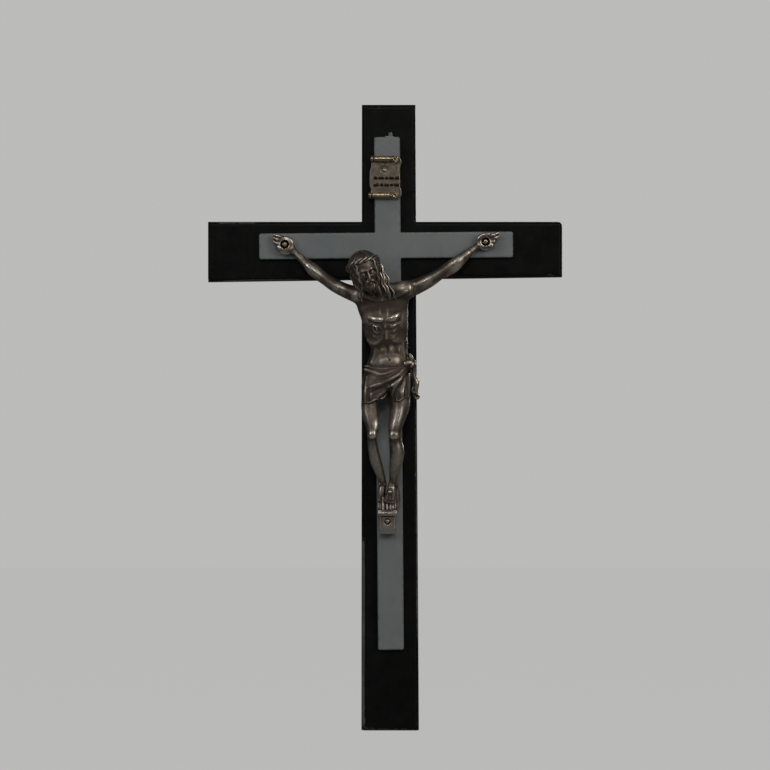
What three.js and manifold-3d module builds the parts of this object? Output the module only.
// A wall crucifix. A black board cross carries a pale moulded strip cross, and a cast figure and a
// cast scroll are pinned to the front of the strip.
// Millimetres, +Z up. The front faces -Y. The origin is on the back of the board, at the crossing.
import * as THREE from 'three';
import { mergeVertices } from 'three/addons/utils/BufferGeometryUtils.js';
import Module from 'manifold-3d';

const wasm = await Module();
wasm.setup();
const degrees = Math.PI / 180;

// The board: a sawn cross that widens a little towards its foot and its left end.
const boardThickness = 10;
const boardTop = 59.4;
const boardFoot = -195.2;
const boardLeft = -73.6;
const boardRight = 70.5;
const uprightTopLeft = -11;
const uprightTopRight = 10.8;
const uprightFootLeft = -11.2;
const uprightFootRight = 12.2;
const armTop = 11.8;
const armLeftBottom = -12.7;
const armRightBottom = -10.7;
const boardBevel = 1.2;
const boardCornerRadius = 2;
const nailHoleRadius = 1.7;
const nailHoleDepth = 6.5;
const nailHoleHeight = 44;
const nailHoleSides = 12;

// The strip: a moulded cross, set on the board a hair askew.
const stripThickness = 2;
const stripWidth = 10.5;
const stripCentreX = -0.46;
const stripCentreZ = 2.1;
const stripTop = 44.1;
const stripFoot = -164.4;
const stripLeft = -52.3;
const stripRight = 50.9;
const stripCornerRadius = 1;
const stripEdge = 0.35;
const stripTurn = -0.45 * degrees;
const gateBase = { x: 0.95, width: 3.6, height: 0.5, thickness: 1.6 };
const gateStub = { x: 1.45, width: 1.6, height: 2.1, thickness: 1.3 };

// The pins and their holes. A ledge is how far in front of the strip the pin's head sits.
const shankRadius = 0.6;
const shankHoleRadius = 0.75;
const shankLength = 8;
const leftPalm = { x: -42.3, z: 2.5, hole: 1.85, ledge: 0.8, head: 1.05 };
const rightPalm = { x: 39.2, z: 3.6, hole: 1.85, ledge: 0.8, head: 1.05 };
const blockPin = { x: -0.6, z: -110, hole: 1.35, ledge: 3.6, head: 1.1 };
const scrollPin = { x: -1.75, z: 32.7, hole: 1.05, ledge: 0.4, head: 0.85 };

const face = -(boardThickness + stripThickness);
const weldDistance = 0.2;
const frontCrowding = 0.4;

const lacquer = new THREE.MeshStandardMaterial({ color: 0x0b0a09, roughness: 0.35 });
const paleStrip = new THREE.MeshStandardMaterial({ color: 0x8a9090, roughness: 0.45 });
const darkCasting = new THREE.MeshStandardMaterial({ color: 0x6e675e, roughness: 0.35, metalness: 1 });
const goldenCasting = new THREE.MeshStandardMaterial({ color: 0x80705a, roughness: 0.35, metalness: 1 });

// A closed three.js geometry as a solid, and a solid as a named mesh.
function solid(geometry) {
  const bare = geometry.clone();
  bare.deleteAttribute('normal');
  bare.deleteAttribute('uv');
  const merged = mergeVertices(bare, 1e-4);
  const vertProperties = new Float32Array(merged.attributes.position.array);
  const triVerts = new Uint32Array(merged.index.array);
  return new wasm.Manifold(new wasm.Mesh({ numProp: 3, vertProperties, triVerts }));
}

function named(name, body, material) {
  const { vertProperties, triVerts } = body.getMesh();
  const geometry = new THREE.BufferGeometry();
  geometry.setAttribute('position', new THREE.BufferAttribute(vertProperties, 3));
  geometry.setIndex(new THREE.BufferAttribute(triVerts, 1));
  geometry.computeVertexNormals();
  const mesh = new THREE.Mesh(geometry, material);
  mesh.name = name;
  return mesh;
}

function fuse(geometries) {
  return geometries.map(solid).reduce((whole, piece) => whole.add(piece));
}

// The same solid with corners closer than a given distance welded, which takes out its slivers.
function welded(body, distance) {
  const { vertProperties, triVerts } = body.getMesh();
  const geometry = new THREE.BufferGeometry();
  geometry.setAttribute('position', new THREE.BufferAttribute(vertProperties, 3));
  geometry.setIndex(new THREE.BufferAttribute(triVerts, 1));
  const merged = mergeVertices(geometry, distance);
  const corners = merged.index.array;
  const kept = [];
  for (let i = 0; i < corners.length; i += 3) {
    const [a, b, c] = corners.slice(i, i + 3);
    if (a !== b && b !== c && a !== c) kept.push(a, b, c);
  }
  const points = new Float32Array(merged.attributes.position.array);
  const mesh = new wasm.Mesh({ numProp: 3, vertProperties: points, triVerts: new Uint32Array(kept) });
  return parted(new wasm.Manifold(mesh), distance / 2);
}

// Where two sheets of the skin touch, the corners of each are drawn towards their own neighbours.
function parted(body, distance) {
  const { vertProperties, triVerts } = body.getMesh();
  const at = (i) => new THREE.Vector3().fromArray(vertProperties, 3 * i);
  const places = new Map();
  for (let i = 0; i < vertProperties.length / 3; i++) {
    const place = at(i).toArray().map((v) => v.toFixed(4)).join();
    places.set(place, [...(places.get(place) ?? []), i]);
  }
  const touching = [...places.values()].filter((shared) => shared.length > 1).flat();
  const pulls = new Map(touching.map((i) => [i, new THREE.Vector3()]));
  triVerts.forEach((corner, i) => {
    if (!pulls.has(corner)) return;
    const first = i - (i % 3);
    for (const other of triVerts.slice(first, first + 3)) pulls.get(corner).add(at(other).sub(at(corner)));
  });
  pulls.forEach((pull, i) => at(i).add(pull.setLength(distance)).toArray(vertProperties, 3 * i));
  return new wasm.Manifold(new wasm.Mesh({ numProp: 3, vertProperties, triVerts }));
}

function box(width, depth, height, x, y, z) {
  return new THREE.BoxGeometry(width, depth, height).translate(x, y, z);
}

// A cylinder that runs along Y from one depth to another.
function rod(radius, x, z, fromY, toY, sides = 8) {
  const length = Math.abs(toY - fromY);
  return new THREE.CylinderGeometry(radius, radius, length, sides).translate(x, (fromY + toY) / 2, z);
}

// An outline in X and Z, pushed back in +Y from the plane y = front.
function slab(shape, front, thickness, edge = 0) {
  const geometry = new THREE.ExtrudeGeometry(shape, {
    depth: thickness - 2 * edge,
    bevelEnabled: edge > 0,
    bevelThickness: edge,
    bevelSize: edge,
    bevelOffset: -edge,
    bevelSegments: 1,
    curveSegments: 3,
  });
  return geometry.rotateX(90 * degrees).translate(0, front + thickness - edge, 0);
}

// An ellipsoid from its centre and its three half sizes, leaning about the Y axis.
function ball(x, y, z, halfX, halfY, halfZ, lean = 0, sides = 8, rows = 5) {
  return new THREE.SphereGeometry(1, sides, rows)
    .rotateX(90 * degrees)
    .scale(halfX, halfY, halfZ)
    .rotateY(lean)
    .translate(x, y, z);
}

// A round-ended limb through stations [x, y, z, half width, half depth]. Its rows bunch at the ends
// and its sides crowd at the front, where the eye is.
function limb(stations, sides = 6, rows = 5, blunt = 1, bunching = 1) {
  const spine = new THREE.CatmullRomCurve3(stations.map(([x, y, z]) => new THREE.Vector3(x, y, z)));
  const girth = new THREE.CatmullRomCurve3(stations.map((s) => new THREE.Vector3(s[3], s[4], 0)));
  const length = spine.getLength();
  const shape = new THREE.SphereGeometry(1, sides, rows);
  const place = shape.attributes.position;
  for (let i = 0; i < place.count; i++) {
    const row = Math.floor(i / (sides + 1));
    const turn = ((i % (sides + 1)) / sides) * 360 * degrees;
    const angle = turn - frontCrowding * Math.cos(turn);
    const bunched = (1 - Math.cos((row / rows) * 180 * degrees)) / 2;
    const t = THREE.MathUtils.lerp(row / rows, bunched, bunching);
    const along = spine.getTangent(t);
    const depthwise = new THREE.Vector3(0, 1, 0).addScaledVector(along, -along.y).normalize();
    const across = depthwise.clone().cross(along);
    const size = girth.getPoint(t);
    const fromEnd = (Math.min(t, 1 - t) * length) / (blunt * Math.max(size.x, size.y));
    const swell = fromEnd < 1 ? Math.sqrt(1 - (1 - fromEnd) ** 2) : 1;
    const point = spine.getPoint(t);
    point.addScaledVector(across, -Math.cos(angle) * size.x * swell);
    point.addScaledVector(depthwise, Math.sin(angle) * size.y * swell);
    place.setXYZ(i, point.x, point.y, point.z);
  }
  return shape;
}

// Raises the front of a shape in soft flat-topped mounds: [x, z, half width, half height, lean, lift].
function raised(shape, mounds, from, to) {
  const place = shape.attributes.position;
  for (let i = 0; i < place.count; i++) {
    const facing = THREE.MathUtils.smoothstep(-place.getY(i), from, to);
    let lift = 0;
    for (const [x, z, halfWidth, halfHeight, lean, height] of mounds) {
      const offset = new THREE.Vector2(place.getX(i) - x, place.getZ(i) - z);
      offset.rotateAround(new THREE.Vector2(), -lean * degrees);
      const far = (offset.x / halfWidth) ** 2 + (offset.y / halfHeight) ** 2;
      lift += height * Math.exp(-far * far);
    }
    place.setY(i, place.getY(i) - lift * facing);
  }
  return shape;
}

// A cord of one radius, thinner towards its ends.
function strand(points, radius, sides = 5, rows = 6) {
  const last = points.length - 1;
  const thin = (i) => radius * (i === 0 || i === last ? 0.6 : 1);
  return limb(points.map((p, i) => [...p, thin(i), thin(i)]), sides, rows);
}

// The hole for a pin: a wide mouth down to its ledge, and a shank hole behind it.
function pinHole(pin, mouthFrom, ledgeY, backY) {
  const mouth = solid(rod(pin.hole, pin.x, pin.z, mouthFrom, ledgeY));
  return mouth.add(solid(rod(shankHoleRadius, pin.x, pin.z, ledgeY - 0.2, backY)));
}

function makeBoard() {
  const atCrossing = (top, foot) => top + ((foot - top) * boardTop) / (boardTop - boardFoot);
  const left = atCrossing(uprightTopLeft, uprightFootLeft);
  const right = atCrossing(uprightTopRight, uprightFootRight);
  const armBottom = (x) => {
    const share = (x - boardLeft) / (boardRight - boardLeft);
    return armLeftBottom + (armRightBottom - armLeftBottom) * share;
  };
  const outline = new THREE.Shape();
  outline.moveTo(uprightTopLeft, boardTop);
  outline.lineTo(left, armTop);
  outline.lineTo(boardLeft, armTop);
  outline.lineTo(boardLeft, armLeftBottom);
  outline.lineTo(left, armBottom(left));
  outline.lineTo(uprightFootLeft, boardFoot);
  outline.lineTo(uprightFootRight, boardFoot);
  outline.lineTo(right, armBottom(right));
  outline.lineTo(boardRight, armRightBottom);
  const round = boardCornerRadius;
  outline.absarc(boardRight - round, armTop - round, round, 0, 90 * degrees, false);
  outline.lineTo(right, armTop);
  outline.lineTo(uprightTopRight, boardTop);
  outline.closePath();
  // The bevel runs round the front only, so the back of the extrusion is cut off square.
  const spare = boardBevel;
  const rough = solid(slab(outline, -boardThickness, boardThickness + spare, boardBevel));
  const keep = solid(box(300, boardThickness, 400, 0, -boardThickness / 2, -50));
  let board = rough.intersect(keep);
  // Corners knocked flat: [x, z, size], each cut leaning back from the front corner.
  const knocks = [
    [boardLeft, armLeftBottom, 3],
    [uprightFootLeft, boardFoot, 3.2],
    [uprightFootRight, boardFoot, 2.4],
    [uprightTopRight, boardTop, 1.5],
  ];
  const cutSize = 12;
  for (const [x, z, size] of knocks) {
    const outward = new THREE.Vector3(Math.sign(x), -1.1, Math.sign(z)).normalize();
    const turn = new THREE.Quaternion().setFromUnitVectors(new THREE.Vector3(0, 0, 1), outward);
    const reach = cutSize / 2 - size / Math.sqrt(3);
    const cut = new THREE.BoxGeometry(cutSize, cutSize, cutSize).applyQuaternion(turn);
    cut.translate(x + outward.x * reach, -boardThickness + outward.y * reach, z + outward.z * reach);
    board = board.subtract(solid(cut));
  }
  for (const pin of [leftPalm, rightPalm, blockPin, scrollPin]) {
    const deep = face + stripThickness - pin.ledge + shankLength;
    board = board.subtract(solid(rod(shankHoleRadius, pin.x, pin.z, face, deep)));
  }
  const nailHole = rod(nailHoleRadius, 0, nailHoleHeight, -nailHoleDepth, 1, nailHoleSides);
  return board.subtract(solid(nailHole));
}

// The strip is drawn about its own crossing and carried to its place by its mesh.
function makeStrip() {
  const half = stripWidth / 2;
  const corners = [
    [-half, stripTop, 1], [-half, half, 0], [stripLeft, half, 1], [stripLeft, -half, 1],
    [-half, -half, 0], [-half, stripFoot, 1], [half, stripFoot, 1], [half, -half, 0],
    [stripRight, -half, 1], [stripRight, half, 1], [half, half, 0], [half, stripTop, 1],
  ];
  const outline = new THREE.Shape();
  corners.forEach(([x, z, round], i) => {
    const [beforeX, beforeZ] = corners[(i + 11) % 12];
    const [afterX, afterZ] = corners[(i + 1) % 12];
    const radius = round * stripCornerRadius;
    const fromX = x + Math.sign(beforeX - x) * radius;
    const fromZ = z + Math.sign(beforeZ - z) * radius;
    if (i === 0) outline.moveTo(fromX, fromZ);
    else outline.lineTo(fromX, fromZ);
    const toX = x + Math.sign(afterX - x) * radius;
    const toZ = z + Math.sign(afterZ - z) * radius;
    if (round) outline.quadraticCurveTo(x, z, toX, toZ);
  });
  outline.closePath();
  let strip = solid(slab(outline, -stripThickness, stripThickness + stripEdge, stripEdge));
  strip = strip.intersect(solid(box(300, stripThickness, 400, 0, -stripThickness / 2, -50)));
  for (const gate of [gateBase, gateStub]) {
    const height = gate.height + 1;
    const middle = stripTop - 1 + height / 2;
    const lump = box(gate.width, gate.thickness, height, gate.x, -gate.thickness / 2, middle);
    strip = strip.add(solid(lump));
  }
  const across = new THREE.Vector3();
  for (const pin of [leftPalm, rightPalm, blockPin, scrollPin]) {
    across.set(pin.x - stripCentreX, 0, pin.z - stripCentreZ);
    across.applyAxisAngle(new THREE.Vector3(0, 1, 0), -stripTurn);
    strip = strip.subtract(solid(rod(shankHoleRadius, across.x, across.z, -stripThickness - 1, 1)));
  }
  return strip;
}

// The figure stands in its own frame: y = 0 is the strip's face, and x and z are the board's.
const leftArm = [
  [-7.0, -5.2, -19.8, 3.2, 3.4], [-10.6, -5.3, -18.6, 3.9, 3.8], [-13.8, -5.0, -17.7, 3.3, 3.2],
  [-17.9, -4.7, -16.2, 2.9, 2.8],
  [-21.9, -4.5, -14.2, 2.75, 2.7], [-26.0, -4.3, -11.5, 2.6, 2.5], [-30.1, -4.0, -8.5, 2.8, 2.5],
  [-34.1, -3.2, -4.7, 1.8, 1.8], [-37.6, -2.2, -1.3, 1.25, 1.25], [-39.8, -1.6, 0.7, 1.8, 1.1],
];
const rightArm = [
  [1.6, -5.2, -18.4, 3.0, 3.2], [5.8, -5.4, -16.4, 4.0, 3.8], [9.4, -5.0, -15.3, 3.4, 3.2],
  [12.6, -4.7, -14.0, 3.1, 2.8],
  [16.7, -4.5, -12.0, 2.65, 2.7], [20.7, -4.3, -9.5, 2.45, 2.5], [24.8, -4.0, -7.1, 2.8, 2.5],
  [28.9, -3.6, -3.8, 2.5, 2.2], [32.9, -2.6, -0.4, 1.65, 1.6], [35.4, -1.9, 1.4, 1.25, 1.25],
  [37.4, -1.6, 2.6, 1.8, 1.1],
];
const leftLeg = [
  [-7.4, -6.2, -56.0, 3.6, 3.6], [-8.3, -7.0, -62.7, 2.9, 3.4], [-8.0, -7.9, -66.8, 2.75, 3.2],
  [-7.1, -8.9, -70.8, 2.45, 2.9], [-6.8, -9.5, -73.6, 2.2, 2.6], [-6.9, -9.2, -76.2, 1.9, 2.3],
  [-6.3, -8.0, -81.0, 2.05, 2.5], [-5.4, -7.0, -85.0, 2.3, 2.6], [-4.0, -6.0, -89.1, 1.95, 2.1],
  [-2.9, -5.0, -92.4, 1.5, 1.6], [-2.3, -4.4, -95.0, 1.2, 1.4],
];
const rightLeg = [
  [4.0, -6.4, -56.0, 4.6, 3.8], [4.5, -7.2, -62.7, 4.1, 3.7], [3.6, -8.2, -66.8, 3.55, 3.4],
  [2.7, -9.2, -70.8, 3.0, 3.0], [2.4, -9.8, -74.2, 2.65, 2.7], [2.5, -9.3, -76.8, 2.6, 2.4],
  [3.2, -8.3, -81.0, 3.05, 2.8], [3.0, -7.6, -85.0, 2.85, 2.8], [2.3, -7.0, -89.1, 2.2, 2.2],
  [1.8, -6.4, -92.4, 1.5, 1.7], [1.3, -6.2, -95.0, 1.35, 1.4],
];
const torso = [
  [-2.6, -4.8, -13.8, 4.0, 2.8], [-2.7, -5.2, -17.0, 8.0, 4.0], [-2.6, -5.6, -20.8, 10.5, 4.9],
  [-2.0, -5.9, -24.9, 9.8, 5.3], [-1.6, -6.0, -28.1, 9.3, 5.4], [-1.2, -5.8, -32.2, 8.9, 5.1],
  [-0.5, -5.4, -35.5, 8.2, 4.6], [0.3, -5.0, -38.2, 7.4, 4.0], [0.1, -5.0, -41.2, 7.5, 4.0],
  [0.0, -5.2, -44.4, 7.9, 4.2], [-0.6, -5.4, -48.0, 8.6, 4.6], [-1.0, -5.6, -54.0, 8.6, 4.6],
];
const hips = [
  [-0.8, -5.4, -46.0, 8.0, 4.2], [-0.9, -5.6, -48.4, 8.9, 4.9], [-1.1, -5.8, -52.5, 9.3, 5.1],
  [-1.3, -6.0, -57.8, 9.4, 5.0],
];
const leftSleeve = [
  [-5.0, -6.2, -51.0, 4.6, 4.6], [-6.0, -6.3, -56.0, 5.0, 4.9], [-6.2, -6.6, -63.0, 5.0, 4.7],
];
const rightSleeve = [
  [3.4, -6.2, -51.0, 4.4, 4.6], [4.5, -6.4, -56.0, 4.1, 4.9], [4.8, -6.7, -62.8, 3.9, 4.6],
];

// The front of the cloth at a place: the nearest to the viewer of the hips and the two sleeves.
function onCloth(x, z, proud = 0) {
  const fronts = [hips, leftSleeve, rightSleeve].map((stations) => {
    const below = stations.findIndex((station) => station[2] < z);
    const next = below < 0 ? stations.length - 1 : Math.max(below, 1);
    const [upper, lower] = [stations[next - 1], stations[next]];
    const share = THREE.MathUtils.clamp((z - upper[2]) / (lower[2] - upper[2]), 0, 1);
    const [middle, depth, , halfWidth, halfDepth] = upper.map((v, i) => v + (lower[i] - v) * share);
    const aside = Math.abs(x - middle) / halfWidth;
    return aside < 1 && z < stations[0][2] ? depth - halfDepth * Math.sqrt(1 - aside * aside) : 0;
  });
  return [x, Math.min(hips[1][1], ...fronts) - proud, z];
}

function makeTrunk() {
  const mounds = [
    [-6.2, -24.4, 4.1, 3.6, -16, 1.9],
    [2.2, -23.8, 4.1, 3.6, 12, 1.9],
    [-2.0, -24.6, 1.2, 4.2, 4, -1.3],
    [-6.4, -32.6, 2.5, 4.6, -30, 1.3],
    [4.2, -32.4, 2.8, 4.6, 30, 1.3],
    [-1.2, -37.2, 2.6, 3.6, 0, -1.1],
    [-1.8, -41.2, 1.4, 3.2, 2, 0.9],
    [2.2, -41.0, 1.4, 3.2, -4, 0.9],
    [0.2, -45.8, 5.2, 2.4, 0, 1.4],
  ];
  const trunk = raised(limb(torso, 20, 26, 0.4, 0.2), mounds, 4, 8);
  const neck = limb([[-2.8, -4.8, -18.6, 2.6, 2.6], [-6.4, -7.2, -14.0, 2.3, 2.5],
    [-8.6, -9.4, -9.0, 2.4, 2.6]]);
  const slopes = [
    limb([[-4.6, -6.4, -12.4, 1.6, 2.0], [-0.4, -5.6, -14.6, 2.4, 2.8], [5.0, -5.4, -15.6, 3.0, 3.2]]),
    limb([[-5.6, -6.4, -13.4, 1.6, 2.0], [-7.6, -5.8, -16.4, 2.2, 2.8], [-11.4, -5.4, -18.0, 3.0, 3.0]]),
  ];
  const collarbones = limb([[-6.8, -8.4, -18.8, 0.6, 0.8], [-2.6, -8.8, -19.4, 0.7, 0.8],
    [2.6, -8.6, -18.2, 0.9, 1.0], [7.4, -7.6, -15.0, 0.7, 0.8]], 5, 7);
  return [trunk, neck, ...slopes, collarbones];
}

function makeLegs() {
  const leftMounds = [[-6.8, -74.2, 1.7, 2.0, 0, 0.9], [-7.2, -67.5, 1.6, 4.2, 0, 0.4],
    [-5.6, -84.0, 1.0, 6.0, -14, 0.4]];
  const rightMounds = [[2.3, -74.6, 2.0, 2.1, 0, 0.9], [3.2, -67.5, 2.0, 4.4, 0, 0.4],
    [2.4, -84.6, 1.1, 6.0, 4, 0.4]];
  return [
    raised(limb(leftLeg, 8, 14, 1, 0.5), leftMounds, 8, 10),
    raised(limb(rightLeg, 8, 14, 1, 0.5), rightMounds, 8, 10),
  ];
}

// The cloth is a wrapped body, two sleeves over the thighs, a rolled waist and raised folds.
function makeLoincloth() {
  const roll = [[-10.0, -47.8, 1.9], [-6.9, -48.8, 2.1], [-3.6, -49.2, 2.0], [0.6, -48.4, 1.5],
    [4.4, -47.2, 1.3], [8.0, -46.0, 1.2]];
  const folds = [
    [[-9.6, -52.6], [-5.6, -54.4], [-1.6, -53.0], [2.4, -51.0], [6.6, -48.2]],
    [[-7.8, -59.4], [-4.6, -57.4], [-1.2, -55.0], [2.8, -52.8], [6.8, -49.4]],
    [[-3.2, -59.6], [-1.4, -57.4], [1.2, -55.2], [4.6, -52.6]],
    [[1.6, -60.4], [2.2, -56.8], [4.4, -53.2], [7.2, -49.6]],
    [[5.2, -60.8], [5.4, -56.6], [7.4, -51.0]],
    [[-9.6, -60.6], [-9.4, -56.6], [-8.8, -51.0]],
    [[-6.0, -60.8], [-6.9, -57.6], [-7.0, -55.8]],
    [[7.6, -60.2], [7.8, -56.0], [8.2, -50.4]],
  ];
  const hems = [
    [[-10.6, -60.9], [-8.4, -61.4], [-6.0, -61.2], [-3.8, -60.7], [-2.0, -60.2]],
    [[1.6, -60.8], [3.4, -61.3], [5.6, -60.8], [8.0, -60.0]],
  ];
  const foldRadius = 0.95;
  const hemRadius = 0.75;
  const ridge = (points, radius) => strand(points.map(([x, z]) => onCloth(x, z, 0.1)), radius, 4, 5);
  return [
    limb(hips, 14, 4, 0.2),
    limb(leftSleeve, 10, 4, 0.2),
    limb(rightSleeve, 10, 4, 0.2),
    limb(roll.map(([x, z, half]) => [...onCloth(x, z), half * 0.6, half]), 5, 7),
    ...folds.map((points) => ridge(points, foldRadius)),
    ...hems.map((points) => ridge(points, hemRadius)),
  ];
}

function makeKnot() {
  return [
    ball(8.8, -6.9, -46.2, 2.4, 2.3, 1.9, 0, 7, 5),
    limb([[8.6, -6.4, -46.0, 0.9, 1.1], [8.5, -6.2, -42.4, 0.6, 0.9]], 6, 6),
    limb([[9.4, -6.0, -46.6, 1.2, 1.6], [9.8, -5.6, -50.6, 1.3, 1.8], [10.6, -5.6, -54.0, 1.6, 2.0],
      [10.5, -5.4, -58.0, 1.5, 2.0], [11.2, -5.4, -60.4, 1.3, 1.6]], 6, 8),
    ball(10.6, -6.6, -52.8, 1.3, 1.3, 1.1, 0, 6, 4),
    ball(10.0, -6.6, -56.4, 1.1, 1.3, 1.4, 0, 6, 4),
    ball(11.6, -6.2, -59.4, 0.9, 1.3, 1.5, 0, 6, 4),
  ];
}

// A hand: a flat palm against the strip, fingers [root x, z, tip x, z] and a thumb.
function makeHand(palm, fingers, thumb) {
  const finger = ([x, z, tipX, tipZ]) => limb([
    [x, -1.4, z, 0.75, 0.8], [(x + tipX) / 2, -2.2, (z + tipZ) / 2, 0.65, 0.7],
    [tipX, -1.7, tipZ, 0.5, 0.55],
  ], 5, 4);
  return [
    ball(palm.x, -1.3, palm.z, 3.5, 1.7, 3.6, 0, 10, 4),
    ...fingers.map(finger),
    limb(thumb.map(([x, z]) => [x, -2.0, z, 0.75, 0.8]), 5, 5),
  ];
}

function makeHands() {
  const leftFingers = [[-43.4, 5.2, -46.8, 6.5], [-44.0, 3.8, -47.4, 5.4], [-44.0, 2.2, -47.3, 3.7],
    [-43.6, 0.8, -46.0, 1.7]];
  const rightFingers = [[40.4, 5.4, 44.7, 7.4], [41.9, 4.6, 45.3, 6.0], [41.6, 3.2, 43.6, 4.4],
    [41.0, 1.6, 43.0, 2.6]];
  return [
    ...makeHand({ x: -41.7, z: 2.3 }, leftFingers, [[-39.6, -0.6], [-41.6, -1.0], [-43.6, -0.7]]),
    ...makeHand({ x: 38.6, z: 3.5 }, rightFingers, [[36.6, 5.2], [38.2, 6.6], [40.4, 6.9]]),
  ];
}

// The feet cross: the right one lies over the left, and both stand on the block's ledge.
function makeFeet() {
  const toe = (x, y, half, tip) => limb([[x, y, -100.2, half, half], [x, y - 0.5, -103.0, half, half],
    [x, y, tip, half * 0.8, half]], 5, 4);
  return [
    limb([[-2.3, -4.4, -93.6, 1.2, 1.4], [-3.0, -4.6, -97.3, 1.6, 1.5], [-3.3, -4.8, -101.6, 1.9, 1.3]]),
    limb([[1.3, -6.2, -93.6, 1.35, 1.4], [0.8, -6.8, -97.6, 2.0, 1.6], [0.1, -6.4, -102.2, 2.6, 1.2]], 10),
    toe(-4.5, -4.6, 0.5, -104.6),
    toe(-3.6, -4.9, 0.55, -105.0),
    toe(-2.1, -6.3, 0.85, -105.3),
    toe(-0.8, -6.5, 0.6, -105.2),
    toe(0.4, -6.5, 0.55, -105.2),
    toe(1.4, -6.4, 0.5, -105.1),
    toe(2.3, -6.2, 0.45, -104.9),
    ball(0.4, -8.4, -97.9, 0.85, 0.8, 0.6, 0, 8, 4),
  ];
}

// The block under the feet: a ledge with trimmed ends over a small bracket.
function makeBlock() {
  const profile = new THREE.Shape();
  const points = [[0, -105.2], [7.2, -105.2], [7.2, -106.5], [6.4, -107.4], [5.2, -107.8],
    [5.2, -112.6], [3.8, -115.1], [0, -115.1]];
  profile.setFromPoints(points.map(([forward, z]) => new THREE.Vector2(-forward, z)));
  const ledgeLeft = -4.5;
  const ledgeRight = 3.25;
  const bracket = { left: -3.9, right: 2.65, top: -107.4 };
  const raw = new THREE.ExtrudeGeometry(profile, { depth: ledgeRight - ledgeLeft, bevelEnabled: false });
  raw.applyMatrix4(new THREE.Matrix4().makeBasis(
    new THREE.Vector3(0, 1, 0),
    new THREE.Vector3(0, 0, 1),
    new THREE.Vector3(1, 0, 0),
  ));
  let block = solid(raw.translate(ledgeLeft, 0, 0));
  const trim = 10;
  for (const [x, side] of [[bracket.left, -1], [bracket.right, 1]]) {
    const cut = box(trim, 20, trim, x + (side * trim) / 2, 0, bracket.top - trim / 2);
    block = block.subtract(solid(cut));
  }
  return block;
}

// The head is built upright in its own frame, with the face towards -Y, on plain proportions.
const headPlace = new THREE.Matrix4().makeRotationFromEuler(
  new THREE.Euler(18 * degrees, -12 * degrees, -16 * degrees, 'YXZ'),
);
headPlace.setPosition(-9.4, -9.4, -8.0);

function makeHead() {
  const fine = 0.6;
  const brow = (side) => strand([[3.5 * side, -4.3, 1.3], [2.0 * side, -5.3, 2.1], [0, -5.3, 1.9]], fine, 4, 4);
  const whisker = (side) => strand([[0, -5.9, -3.0], [1.5 * side, -5.5, -3.4],
    [2.9 * side, -4.4, -4.8]], fine, 4, 4);
  const tuft = (x, z) => strand([[x, -4.4, -5.2], [x * 1.2, -5.2, -6.8], [x * 0.4, -5.0, z]], 1.0, 4, 4);
  const skull = [
    ball(0, 0.4, 1.2, 5.2, 6.0, 6.4, 0, 10, 6),
    ball(0, -1.7, -2.6, 4.2, 4.1, 4.2, 0, 12, 6),
    limb([[0, -4.8, 1.8, 0.6, 1.0], [0, -5.6, -0.8, 0.7, 1.2], [0, -4.6, -2.4, 1.1, 1.2]], 5, 5),
    brow(1),
    brow(-1),
    ball(-2.0, -4.6, 0.2, 1.1, 0.8, 0.6, 0, 8, 4),
    ball(2.0, -4.6, 0.2, 1.1, 0.8, 0.6, 0, 8, 4),
  ];
  const beard = [
    ball(0, -2.6, -5.4, 3.7, 3.0, 3.4, 0, 10, 6),
    ...[-2.2, -0.8, 0.8, 2.2].map((x) => tuft(x, Math.abs(x) < 1 ? -9.3 : -8.4)),
    whisker(1),
    whisker(-1),
    ball(0, -5.3, -4.2, 0.9, 0.5, 0.4, 0, 6, 4),
  ];
  const falls = (side) => [
    [[2.2, -4.4, 6.2], [5.0, -3.4, 2.4], [5.7, -2.6, -1.6], [4.7, -1.8, -5.6]],
    [[3.2, -1.4, 6.4], [6.0, 0.2, 2.0], [6.3, 0.6, -2.6], [5.4, 0.8, -6.8]],
  ].map((points) => strand(points.map(([x, y, z]) => [x * side, y, z]), 1.4, 5, 5));
  // The cap of hair. Every other meridian is let in a little, which leaves combed ridges.
  const capSides = 14;
  const capMiddle = 1.2;
  const letIn = 0.93;
  const cap = ball(0, capMiddle, 2.4, 6.1, 6.2, 6.1, 0, capSides, 6);
  const place = cap.attributes.position;
  for (let i = 0; i < place.count; i++) {
    if ((i % (capSides + 1)) % 2 === 0) continue;
    place.setX(i, place.getX(i) * letIn);
    place.setY(i, capMiddle + (place.getY(i) - capMiddle) * letIn);
  }
  return [...skull, ...beard, cap, ...falls(1), ...falls(-1), ...makeCrown()];
}

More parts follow.
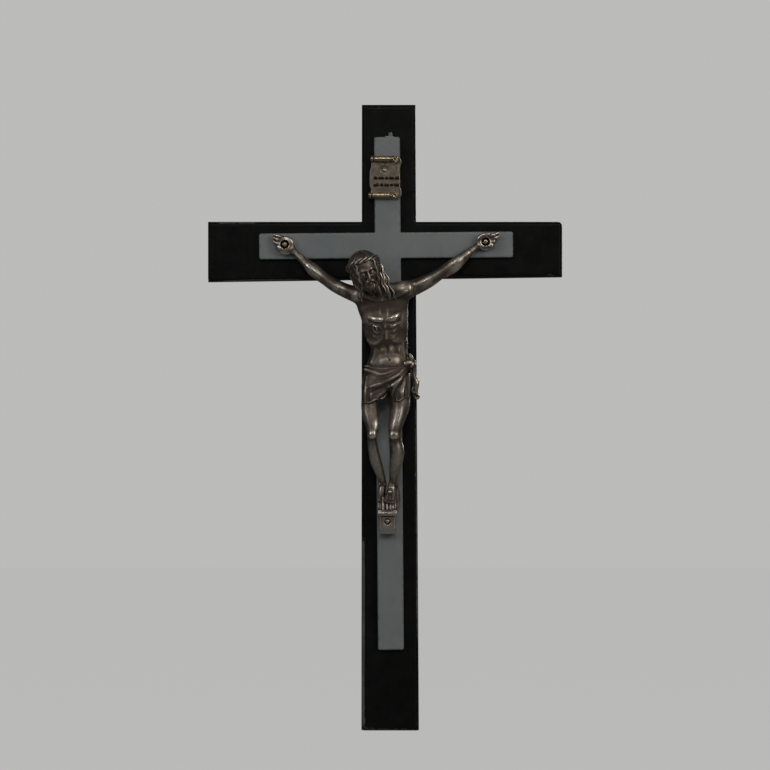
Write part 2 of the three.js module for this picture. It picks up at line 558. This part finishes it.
// The crown: a twisted ring, worn tipped back, with thorns round its front.
function makeCrown() {
  const ring = { halfX: 6.2, halfY: 6.6, y: 0.3, z: 4.1, tip: 16 * degrees };
  const stem = 1.05;
  const turns = 3;
  const steps = 22;
  const sides = 4;
  const onRing = (angle, out, up) => {
    const y = (ring.halfY + out) * Math.sin(angle);
    return [
      (ring.halfX + out) * Math.cos(angle),
      ring.y + y * Math.cos(ring.tip) + up * Math.sin(ring.tip),
      ring.z - y * Math.sin(ring.tip) + up * Math.cos(ring.tip),
    ];
  };
  const rope = new THREE.TorusGeometry(1, 0.5, sides, steps);
  const place = rope.attributes.position;
  for (let i = 0; i < place.count; i++) {
    const along = ((i % (steps + 1)) / steps) * 360 * degrees;
    const around = (Math.floor(i / (steps + 1)) / sides) * 360 * degrees + along * turns;
    place.setXYZ(i, ...onRing(along, stem * Math.cos(around), stem * Math.sin(around)));
  }
  const thorns = [];
  for (let i = 0; i < 7; i++) {
    const angle = (180 + 26 * (i + 0.4)) * degrees;
    const lift = i % 2 ? 1.9 : -1.7;
    thorns.push(limb([[...onRing(angle, 0, 0), 0.6, 0.6], [...onRing(angle, 0.9, lift), 0.2, 0.2]], 4, 3));
  }
  return [rope, ...thorns];
}

// Loose locks: down the right of the neck onto the shoulder, and down the left past the arm.
function makeLocks() {
  const locks = [
    [[-3.6, -9.0, -5.6], [-2.6, -9.4, -9.6], [-1.7, -9.2, -13.0], [0.2, -9.4, -16.8], [1.6, -9.7, -19.8]],
    [[-3.0, -8.0, -6.4], [-1.3, -8.6, -10.4], [-0.6, -8.6, -13.0], [1.4, -8.8, -16.4], [3.4, -8.8, -19.4]],
    [[-3.4, -10.4, -7.4], [-2.9, -10.6, -11.0], [-2.0, -10.2, -14.6], [-0.8, -9.8, -18.4]],
    [[-15.4, -8.6, -6.8], [-15.0, -9.0, -10.6], [-13.4, -8.8, -13.9], [-11.6, -8.8, -18.0],
      [-11.0, -8.6, -21.6]],
    [[-14.2, -9.8, -8.4], [-13.0, -9.8, -12.0], [-11.8, -9.4, -15.2], [-10.4, -9.6, -18.6],
      [-10.0, -9.6, -20.8]],
  ];
  return locks.map((points) => strand(points, 1.05, 4, 6));
}

function makeCorpus() {
  const head = makeHead().map((piece) => piece.applyMatrix4(headPlace));
  const limbs = [limb(leftArm, 8, 9), limb(rightArm, 8, 10)];
  const flesh = [...limbs, ...makeTrunk(), ...makeLegs(), ...makeHands(), ...makeFeet()];
  const casting = fuse([...flesh, ...makeLoincloth(), ...makeKnot(), ...head, ...makeLocks()]);
  const inFront = solid(box(200, 40, 200, 0, -20, -50));
  let corpus = casting.add(makeBlock()).intersect(inFront);
  for (const pin of [leftPalm, rightPalm, blockPin]) {
    corpus = corpus.subtract(pinHole(pin, -12, -pin.ledge, 1));
  }
  // Hollows sealed between pieces are filled, as metal would fill them.
  const skins = welded(corpus, weldDistance).decompose();
  return skins.reduce((outer, skin) => (skin.volume() > outer.volume() ? skin : outer));
}

// The scroll: a plate rolled forward at both ends, with a raised curl at the right of each roll
// and two rows of plain strokes where writing would be.
const scroll = { top: 38.6, bottom: 21.1, thickness: 0.9, rollRadius: 1.45, rollWall: 0.55 };
const scrollEdges = [
  [38.7, -7.3, 4.8], [36.0, -6.8, 4.8], [32.8, -7.5, 4.1], [28.8, -7.8, 4.2], [25.0, -7.0, 4.5],
  [23.2, -8.0, 5.1], [21.0, -8.2, 5.1],
];
const strokeRows = [
  { z: 29.6, from: -6.0, lengths: [1.3, 2.2, 1.0, 1.8, 1.4] },
  { z: 26.6, from: -6.0, lengths: [2.0, 1.2, 1.7, 1.0, 1.9] },
];
const strokeHeight = 0.8;
const strokeProud = 0.3;
const strokeGap = 0.45;

function makeScroll() {
  const { thickness, rollRadius, rollWall } = scroll;
  const middle = (scroll.top + scroll.bottom) / 2;
  const half = (scroll.top - scroll.bottom) / 2 - rollRadius;
  const turnsOfCurl = 9;
  const curl = (side) => {
    const outer = [];
    const inner = [];
    for (let i = 0; i <= turnsOfCurl; i++) {
      const angle = (-90 + i * 44) * degrees;
      const radius = rollRadius - i * 0.07;
      const at = (r) => new THREE.Vector2(
        -(rollRadius + Math.sin(angle) * r),
        middle + side * (half + Math.cos(angle) * r),
      );
      outer.push(at(radius));
      inner.push(at(radius - rollWall));
    }
    return [...outer, ...inner.reverse()];
  };
  const plateParts = 3;
  const plate = (y, from, to) => Array.from({ length: plateParts + 1 }, (_, i) => (
    new THREE.Vector2(y, THREE.MathUtils.lerp(from, to, i / plateParts))
  ));
  const reach = half - 0.9;
  const outline = new THREE.Shape();
  outline.setFromPoints([
    ...curl(1),
    ...plate(-thickness, middle + reach, middle - reach),
    ...curl(-1).reverse(),
    ...plate(0, middle - reach, middle + reach),
  ]);
  const raw = new THREE.ExtrudeGeometry(outline, { depth: 1, bevelEnabled: false });
  raw.applyMatrix4(new THREE.Matrix4().makeBasis(
    new THREE.Vector3(0, 1, 0),
    new THREE.Vector3(0, 0, 1),
    new THREE.Vector3(1, 0, 0),
  ));
  const place = raw.attributes.position;
  for (let i = 0; i < place.count; i++) {
    const z = THREE.MathUtils.clamp(place.getZ(i), scroll.bottom, scroll.top);
    const next = scrollEdges.findIndex((edge) => edge[0] <= z);
    const [upper, lower] = [scrollEdges[next - 1], scrollEdges[next]];
    const share = (z - upper[0]) / (lower[0] - upper[0]);
    const left = THREE.MathUtils.lerp(upper[1], lower[1], share);
    const right = THREE.MathUtils.lerp(upper[2], lower[2], share);
    place.setX(i, THREE.MathUtils.lerp(left, right, place.getX(i)));
  }
  const bosses = [36.9, 22.7].map((z) => new THREE.TorusGeometry(0.95, 0.4, 4, 9)
    .rotateX(90 * degrees)
    .translate(3.6, -2 * rollRadius, z));
  const strokes = strokeRows.flatMap((row) => row.lengths.map((length, i) => {
    const before = row.lengths.slice(0, i).reduce((sum, other) => sum + other + strokeGap, 0);
    const depth = strokeProud + 0.4;
    const y = -thickness - strokeProud + depth / 2;
    return box(length, depth, strokeHeight, row.from + before + length / 2, y, row.z);
  }));
  return fuse([raw, ...bosses, ...strokes]);
}

// A pin: a domed head whose flat underside sits on the ledge, and a plain shank behind it.
function makePin(name, pin, material) {
  const rise = 0.7 * pin.head;
  const profile = [new THREE.Vector2(0, -rise)];
  for (let i = 1; i <= 3; i++) {
    const angle = (i / 3) * 90 * degrees;
    profile.push(new THREE.Vector2(Math.sin(angle) * pin.head, -Math.cos(angle) * (rise - 0.2) - 0.2));
  }
  profile.push(new THREE.Vector2(pin.head, 0));
  profile.push(new THREE.Vector2(shankRadius, 0));
  profile.push(new THREE.Vector2(shankRadius, shankLength - 0.6));
  profile.push(new THREE.Vector2(0, shankLength));
  const mesh = named(name, solid(new THREE.LatheGeometry(profile, 8)), material);
  mesh.position.set(pin.x, face - pin.ledge, pin.z);
  return mesh;
}

const group = new THREE.Group();
group.add(named('board_cross', makeBoard(), lacquer));

const strip = named('strip_cross', makeStrip(), paleStrip);
strip.position.set(stripCentreX, -boardThickness, stripCentreZ);
strip.rotation.y = stripTurn;
group.add(strip);

const corpus = named('corpus', makeCorpus(), darkCasting);
corpus.position.y = face;
group.add(corpus);

const scrollPinHole = pinHole(scrollPin, -6, -scrollPin.ledge, 1);
const titulus = named('scroll', makeScroll().subtract(scrollPinHole), goldenCasting);
titulus.position.y = face;
group.add(titulus);

group.add(makePin('pin_left_hand', leftPalm, darkCasting));
group.add(makePin('pin_right_hand', rightPalm, darkCasting));
group.add(makePin('pin_foot_block', blockPin, darkCasting));
group.add(makePin('pin_scroll', scrollPin, goldenCasting));

export default group;
